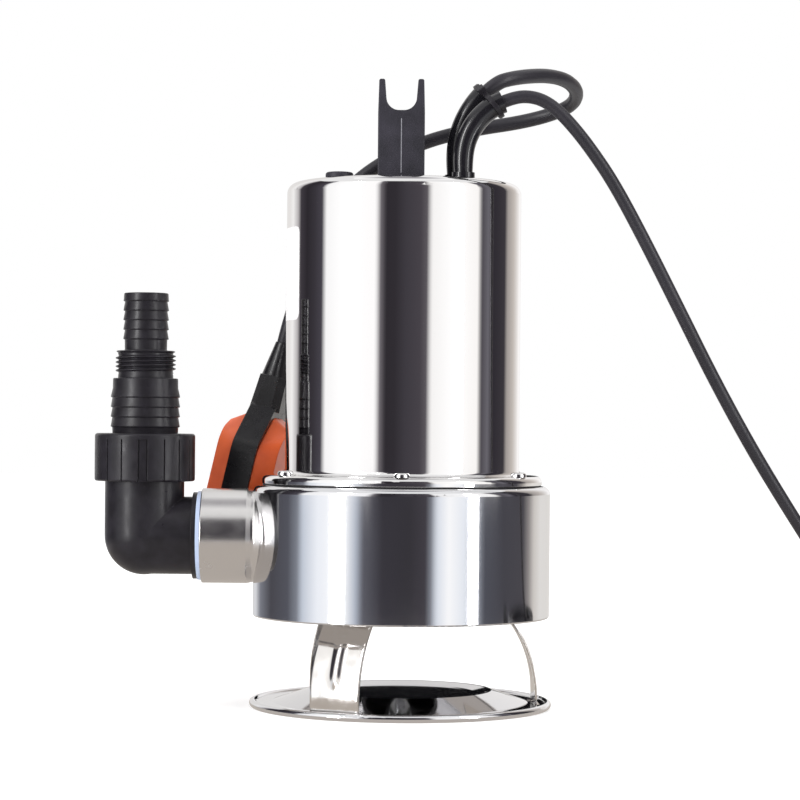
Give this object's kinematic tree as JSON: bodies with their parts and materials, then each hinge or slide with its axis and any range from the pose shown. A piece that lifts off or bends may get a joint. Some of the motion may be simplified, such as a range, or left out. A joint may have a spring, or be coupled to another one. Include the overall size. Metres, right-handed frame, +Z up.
{
  "type": "submersible sump pump with float switch",
  "caption": "Stainless submersible sump pump on a dished foot plate, with an elbow and stepped hose adapter, a carrying handle and a hanging float switch.",
  "frame": {"origin": "on the pump's axis, in the plane that the foot plate stands on", "axes": "+Z up along the motor shaft, outlet towards -X, power lead leaves towards +X, front towards -Y"},
  "size_m": [0.6031, 0.224, 0.3528],
  "materials": {
    "polished_stainless": "mirror polished",
    "rolled_stainless": "bright rolled",
    "black_nylon": "moulded, fine grain",
    "black_rubber": "satin",
    "clear_seal": "translucent",
    "label_film": "satin film",
    "cast_aluminium": "die cast",
    "zinc_steel": "zinc plated",
    "bearing_steel": "ground",
    "core_laminations": "stacked sheet",
    "enamelled_copper": "enamelled",
    "ceramic_seal": "lapped",
    "capacitor_case": "moulded",
    "float_black": "moulded",
    "float_orange": "moulded",
    "nickel_pins": "nickel plated"
  },
  "bodies": {
    "pump": {"base_plate": "rolled_stainless", "leg_right": "rolled_stainless", "leg_rear": "rolled_stainless", "leg_front": "rolled_stainless", "suction_plate": "rolled_stainless", "inlet_ring": "black_nylon", "pump_casing": "rolled_stainless", "casing_gasket": "black_rubber", "outlet_stub": "polished_stainless", "motor_shell": "polished_stainless", "flange_screws": "polished_stainless", "handle": "black_nylon", "handle_screws": "zinc_steel", "shell_plug": "black_nylon", "power_boot": "black_rubber", "float_lead_boot": "black_rubber", "gland_nuts": "black_nylon", "cable_tie": "black_nylon", "label": "label_film", "bearing_housing": "cast_aluminium", "seal_plate": "zinc_steel", "seal_plate_screws": "zinc_steel", "seal_seat": "ceramic_seal", "lip_seal": "black_rubber", "lower_bearing_outer": "bearing_steel", "upper_bearing_outer": "bearing_steel", "motor_frame": "zinc_steel", "stator_core": "core_laminations", "stator_windings": "enamelled_copper", "upper_bracket": "cast_aluminium", "tie_bolts": "zinc_steel", "capacitor": "capacitor_case", "capacitor_clip": "zinc_steel", "terminal_block": "black_nylon", "power_cable": "black_rubber", "float_cable": "black_rubber", "power_coil": "black_rubber", "mains_plug": "black_rubber", "plug_pins": "nickel_pins"},
    "rotor": {"shaft": "bearing_steel", "rotor_core": "core_laminations", "rotor_end_rings": "cast_aluminium", "lower_bearing_inner": "bearing_steel", "upper_bearing_inner": "bearing_steel", "seal_head": "ceramic_seal", "seal_spring": "zinc_steel", "impeller": "black_nylon", "impeller_nut": "zinc_steel"},
    "lower_cage": {"lower_bearing_balls": "bearing_steel"},
    "upper_cage": {"upper_bearing_balls": "bearing_steel"},
    "elbow": {"elbow": "black_nylon", "elbow_seal": "clear_seal", "union_gasket": "black_rubber"},
    "adapter": {"hose_adapter": "black_nylon"},
    "nut": {"union_nut": "black_nylon"},
    "float": {"float_band": "float_black", "float_shell_left": "float_orange", "float_shell_right": "float_orange", "float_switch": "float_black"},
    "ball": {"float_ball": "bearing_steel"}
  },
  "joints": [
    {"name": "rotor_spin", "type": "hinge", "parent": "pump", "child": "rotor", "pos_m": [0, 0, 0.14], "axis": [0, 0, 1], "continuous": true},
    {"name": "lower_cage_spin", "type": "hinge", "parent": "pump", "child": "lower_cage", "pos_m": [0, 0, 0.1355], "axis": [0, 0, 1], "continuous": true},
    {"name": "upper_cage_spin", "type": "hinge", "parent": "pump", "child": "upper_cage", "pos_m": [0, 0, 0.231], "axis": [0, 0, 1], "continuous": true},
    {"name": "elbow_turn", "type": "hinge", "parent": "pump", "child": "elbow", "pos_m": [-0.11, 0, 0.0934], "axis": [1, 0, 0], "range_deg": [-10, 90]},
    {"name": "adapter_lift", "type": "slide", "parent": "elbow", "child": "adapter", "axis": [0, 0, 1], "range_m": [0, 0.00703]},
    {"name": "nut_turn", "type": "hinge", "parent": "adapter", "child": "nut", "pos_m": [-0.142, 0, 0.136], "axis": [0, 0, 1], "range_deg": [0, 1080]},
    {"name": "float_swing", "type": "hinge", "parent": "pump", "child": "float", "pos_m": [-0.036, 0.0673, 0.288], "axis": [0, 1, 0], "range_deg": [0, 120], "deforming": ["float_cable"]},
    {"name": "ball_roll", "type": "slide", "parent": "float", "child": "ball", "axis": [0.225, 0, 0.9744], "range_m": [0, 0.018]}
  ],
  "couplings": [
    {"joint": "lower_cage_spin", "follows": "rotor_spin", "ratio": 0.375},
    {"joint": "upper_cage_spin", "follows": "rotor_spin", "ratio": 0.375},
    {"joint": "adapter_lift", "follows": "nut_turn", "m_per_rad": 0.00036749}
  ]
}
